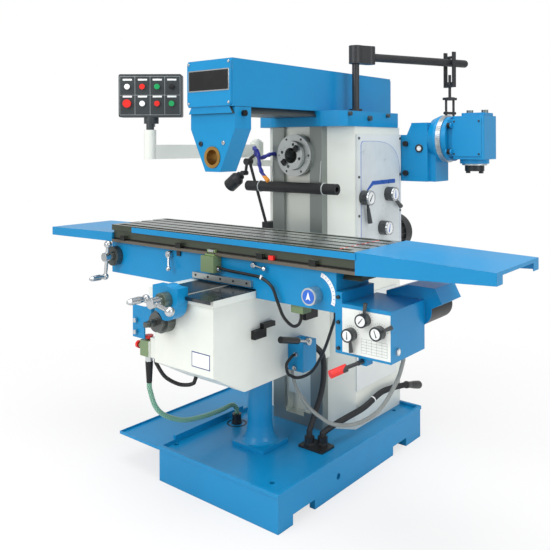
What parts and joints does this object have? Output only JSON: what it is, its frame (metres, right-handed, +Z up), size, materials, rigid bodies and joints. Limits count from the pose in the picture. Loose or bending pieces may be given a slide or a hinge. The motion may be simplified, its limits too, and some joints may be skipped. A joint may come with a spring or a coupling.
{
  "type": "milling machine",
  "caption": "Universal knee milling machine: horizontal spindle and overarm with arbor support, slotted table on knee and saddle, parked vertical head, jib crane, swinging control pendant",
  "frame": {"origin": "On the floor, at the centre of the rectangle of foundation bolts, below the spindle axis; X = 0 is the spindle's vertical plane and Y = 0 the spindle nose", "axes": "+X along the table to the right as the operator faces the column, +Y from the operator to the column, +Z up"},
  "size_m": [2.292, 1.7499, 1.848],
  "materials": {
    "blue_paint": "semi-gloss enamel",
    "cream_paint": "semi-gloss enamel",
    "ground_steel": "ground and lightly oiled",
    "cast_steel": "machined",
    "bright_steel": "bright",
    "black_metal": "satin",
    "black_plastic": "matte",
    "bronze_bush": "machined",
    "black_rubber": "matte",
    "hose_blue": "matte",
    "red_plastic": "gloss",
    "green_plastic": "gloss",
    "olive_paint": "satin"
  },
  "bodies": {
    "frame": {"base_casting": "blue_paint", "drip_tray": "blue_paint", "screw_pedestal": "blue_paint", "column_casting": "cream_paint", "column_covers": "cream_paint", "overarm_seat": "blue_paint", "spindle_bearings": "ground_steel", "main_motor": "black_metal", "head_bracket": "blue_paint", "fixed_posts": "black_metal", "way_cover_roll": "black_rubber", "coolant_hose": "hose_blue", "deck_fittings": "black_plastic"},
    "spindle": {"machine_spindle": "ground_steel"},
    "overarm": {"overarm_beam": "blue_paint"},
    "support": {"arbor_support": "blue_paint", "arbor_bush": "bronze_bush"},
    "jib": {"crane_jib": "black_metal"},
    "trolley": {"crane_trolley": "black_metal"},
    "hook": {"crane_hook": "black_metal"},
    "head": {"milling_head": "blue_paint"},
    "quill": {"head_spindle": "ground_steel"},
    "dial": {"speed_dial": "black_plastic"},
    "lever_speed": {"speed_lever": "black_plastic"},
    "lever_range": {"range_lever": "black_plastic"},
    "knee": {"knee_casting": "cream_paint", "cross_bracket": "blue_paint", "lube_pump": "blue_paint", "knee_switches": "olive_paint", "hoses_and_cables": "black_rubber"},
    "lift_screw": {"elevating_screw": "ground_steel"},
    "lift_shaft": {"elevating_shaft": "ground_steel"},
    "cross_feed": {"cross_crank": "bright_steel"},
    "pump_grip": {"pump_handle": "black_plastic"},
    "knee_start": {"knee_start_button": "bright_steel"},
    "knee_stop": {"knee_stop_button": "bright_steel"},
    "knee_top_stop": {"knee_mushroom": "red_plastic"},
    "knee_side_stop": {"knee_side_mushroom": "red_plastic"},
    "saddle": {"saddle_body": "blue_paint", "feed_gearbox": "blue_paint"},
    "table_handle": {"table_crank": "bright_steel"},
    "clamp": {"clamp_lever": "bright_steel"},
    "selector": {"feed_selector": "ground_steel"},
    "rate_a": {"rate_lever_a": "black_plastic"},
    "rate_b": {"rate_lever_b": "black_plastic"},
    "rate_c": {"rate_lever_c": "black_plastic"},
    "rapid": {"rapid_lever": "black_metal"},
    "table": {"milling_table": "ground_steel", "table_trays": "blue_paint"},
    "feed_screw": {"table_screw": "ground_steel"},
    "arm": {"pendant_arm": "cream_paint"},
    "panel": {"pendant_panel": "black_metal"},
    "stop_a": {"panel_stop_a": "red_plastic"},
    "start_a": {"panel_start_a": "green_plastic"},
    "panel_knob": {"panel_selector": "black_plastic"},
    "panel_stop": {"panel_mushroom": "red_plastic"},
    "stop_b": {"panel_stop_b": "red_plastic"},
    "start_b": {"panel_start_b": "green_plastic"},
    "lamp_link": {"lamp_arm": "black_metal"},
    "lamp_shade": {"lamp_head": "black_metal"}
  },
  "joints": [
    {"name": "spindle_turn", "type": "hinge", "parent": "frame", "child": "spindle", "pos_m": [0, 0.1, 1.344], "axis": [0, 1, 0], "continuous": true},
    {"name": "overarm_slide", "type": "slide", "parent": "frame", "child": "overarm", "axis": [0, 1, 0], "range_m": [-0.25, 0.05]},
    {"name": "support_slide", "type": "slide", "parent": "overarm", "child": "support", "axis": [0, 1, 0], "range_m": [-0.01, 0.3]},
    {"name": "crane_swing", "type": "hinge", "parent": "frame", "child": "jib", "pos_m": [0.185, 0.25, 1.8], "axis": [0, 0, 1], "range_deg": [-10, 20]},
    {"name": "trolley_slide", "type": "slide", "parent": "jib", "child": "trolley", "axis": [0.3827, 0.9239, 0], "range_m": [-0.25, 0.05]},
    {"name": "hook_swivel", "type": "hinge", "parent": "trolley", "child": "hook", "pos_m": [0.40122, 0.77199, 1.65], "axis": [0, 0, 1], "continuous": true},
    {"name": "head_swivel", "type": "hinge", "parent": "frame", "child": "head", "pos_m": [0.47, 0.643, 1.418], "axis": [1, 0, 0], "range_deg": [-45, 45]},
    {"name": "head_spindle_turn", "type": "hinge", "parent": "head", "child": "quill", "pos_m": [0.5845, 0.643, 1.35], "axis": [0, 0, 1], "continuous": true},
    {"name": "speed_dial_turn", "type": "hinge", "parent": "frame", "child": "dial", "pos_m": [0.27, 0.357, 1.007], "axis": [1, 0, 0], "range_deg": [-150, 150]},
    {"name": "speed_lever_turn", "type": "hinge", "parent": "frame", "child": "lever_speed", "pos_m": [0.27, 0.1979, 1.15516], "axis": [1, 0, 0], "range_deg": [-60, 60]},
    {"name": "range_lever_turn", "type": "hinge", "parent": "frame", "child": "lever_range", "pos_m": [0.27, 0.41302, 1.16017], "axis": [1, 0, 0], "range_deg": [-60, 30]},
    {"name": "knee_lift", "type": "slide", "parent": "frame", "child": "knee", "axis": [0, 0, 1], "range_m": [-0.1, 0.24], "deforming": ["hoses_and_cables"]},
    {"name": "lift_screw_turn", "type": "hinge", "parent": "knee", "child": "lift_screw", "pos_m": [0, -0.215, 0.6], "axis": [0, 0, 1], "continuous": true},
    {"name": "lift_shaft_turn", "type": "hinge", "parent": "knee", "child": "lift_shaft", "pos_m": [-0.084, -0.6, 0.728], "axis": [0, 1, 0], "continuous": true},
    {"name": "saddle_slide", "type": "slide", "parent": "knee", "child": "saddle", "axis": [0, 1, 0], "range_m": [-0.18, 0.04], "deforming": ["hoses_and_cables"]},
    {"name": "cross_feed_turn", "type": "hinge", "parent": "knee", "child": "cross_feed", "pos_m": [-0.012, -0.7, 0.824], "axis": [0, 1, 0], "continuous": true},
    {"name": "pump_stroke", "type": "hinge", "parent": "knee", "child": "pump_grip", "pos_m": [0.245, -0.2, 0.6], "axis": [1, 0, 0], "range_deg": [-15, 35]},
    {"name": "knee_start_press", "type": "slide", "parent": "knee", "child": "knee_start", "axis": [0, 1, 0], "range_m": [0, 0.005], "stiffness_N_per_m": 400, "springref_m": -0.002},
    {"name": "knee_stop_press", "type": "slide", "parent": "knee", "child": "knee_stop", "axis": [0, 1, 0], "range_m": [0, 0.005], "stiffness_N_per_m": 400, "springref_m": -0.002},
    {"name": "knee_top_press", "type": "slide", "parent": "knee", "child": "knee_top_stop", "axis": [0, 0, -1], "range_m": [0, 0.005], "stiffness_N_per_m": 600, "springref_m": -0.003},
    {"name": "knee_side_press", "type": "slide", "parent": "knee", "child": "knee_side_stop", "axis": [1, 0, 0], "range_m": [0, 0.005], "stiffness_N_per_m": 400, "springref_m": -0.002},
    {"name": "table_slide", "type": "slide", "parent": "saddle", "child": "table", "axis": [1, 0, 0], "range_m": [-0.35, 0.35]},
    {"name": "table_handle_turn", "type": "hinge", "parent": "saddle", "child": "table_handle", "pos_m": [-0.672, -0.44, 0.886], "axis": [0, 1, 0], "continuous": true},
    {"name": "feed_screw_turn", "type": "hinge", "parent": "saddle", "child": "feed_screw", "pos_m": [0, -0.392, 0.886], "axis": [1, 0, 0], "continuous": true},
    {"name": "clamp_turn", "type": "hinge", "parent": "saddle", "child": "clamp", "pos_m": [-0.304, -0.44, 0.928], "axis": [0, 1, 0], "range_deg": [-40, 40]},
    {"name": "selector_turn", "type": "hinge", "parent": "saddle", "child": "selector", "pos_m": [0.458, -0.44, 0.858], "axis": [0, 1, 0], "range_deg": [-60, 60]},
    {"name": "rate_a_turn", "type": "hinge", "parent": "saddle", "child": "rate_a", "pos_m": [0.66799, -0.45, 0.80491], "axis": [0, 1, 0], "range_deg": [-40, 30]},
    {"name": "rate_b_turn", "type": "hinge", "parent": "saddle", "child": "rate_b", "pos_m": [0.61395, -0.45, 0.74696], "axis": [0, 1, 0], "range_deg": [-5, 45]},
    {"name": "rate_c_turn", "type": "hinge", "parent": "saddle", "child": "rate_c", "pos_m": [0.72493, -0.45, 0.771], "axis": [0, 1, 0], "range_deg": [-25, 25]},
    {"name": "rapid_turn", "type": "hinge", "parent": "saddle", "child": "rapid", "pos_m": [0.652, -0.45, 0.6597], "axis": [0, 1, 0], "range_deg": [-12, 12]},
    {"name": "arm_swing", "type": "hinge", "parent": "frame", "child": "arm", "pos_m": [-0.3, 0.115, 1.36], "axis": [0, 0, 1], "range_deg": [-80, 10]},
    {"name": "panel_turn", "type": "hinge", "parent": "arm", "child": "panel", "pos_m": [-0.425, -0.45, 1.5], "axis": [0, 0, 1], "range_deg": [-60, 60]},
    {"name": "stop_a_press", "type": "slide", "parent": "panel", "child": "stop_a", "axis": [-0.6428, 0.766, 0], "range_m": [0, 0.005], "stiffness_N_per_m": 400, "springref_m": -0.002},
    {"name": "start_a_press", "type": "slide", "parent": "panel", "child": "start_a", "axis": [-0.6428, 0.766, 0], "range_m": [0, 0.005], "stiffness_N_per_m": 400, "springref_m": -0.002},
    {"name": "panel_stop_press", "type": "slide", "parent": "panel", "child": "panel_stop", "axis": [-0.6428, 0.766, 0], "range_m": [0, 0.005], "stiffness_N_per_m": 400, "springref_m": -0.002},
    {"name": "stop_b_press", "type": "slide", "parent": "panel", "child": "stop_b", "axis": [-0.6428, 0.766, 0], "range_m": [0, 0.005], "stiffness_N_per_m": 400, "springref_m": -0.002},
    {"name": "start_b_press", "type": "slide", "parent": "panel", "child": "start_b", "axis": [-0.6428, 0.766, 0], "range_m": [0, 0.005], "stiffness_N_per_m": 400, "springref_m": -0.002},
    {"name": "panel_knob_turn", "type": "hinge", "parent": "panel", "child": "panel_knob", "pos_m": [-0.35232, -0.38901, 1.64754], "axis": [-0.6428, 0.766, 0], "range_deg": [-45, 45]},
    {"name": "lamp_arm_turn", "type": "hinge", "parent": "frame", "child": "lamp_link", "pos_m": [-0.272, 0.012, 1.313], "axis": [0, 1, 0], "range_deg": [-5, 20]},
    {"name": "lamp_head_turn", "type": "hinge", "parent": "lamp_link", "child": "lamp_shade", "pos_m": [-0.281, -0.006, 1.259], "axis": [0, 1, 0], "range_deg": [-15, 30]}
  ],
  "couplings": [
    {"joint": "lift_screw_turn", "follows": "knee_lift", "rad_per_m": 1047.2},
    {"joint": "lift_shaft_turn", "follows": "knee_lift", "rad_per_m": 3141.6},
    {"joint": "cross_feed_turn", "follows": "saddle_slide", "rad_per_m": -1047.2},
    {"joint": "table_handle_turn", "follows": "table_slide", "rad_per_m": -1047.2},
    {"joint": "feed_screw_turn", "follows": "table_slide", "rad_per_m": -1047.2}
  ]
}
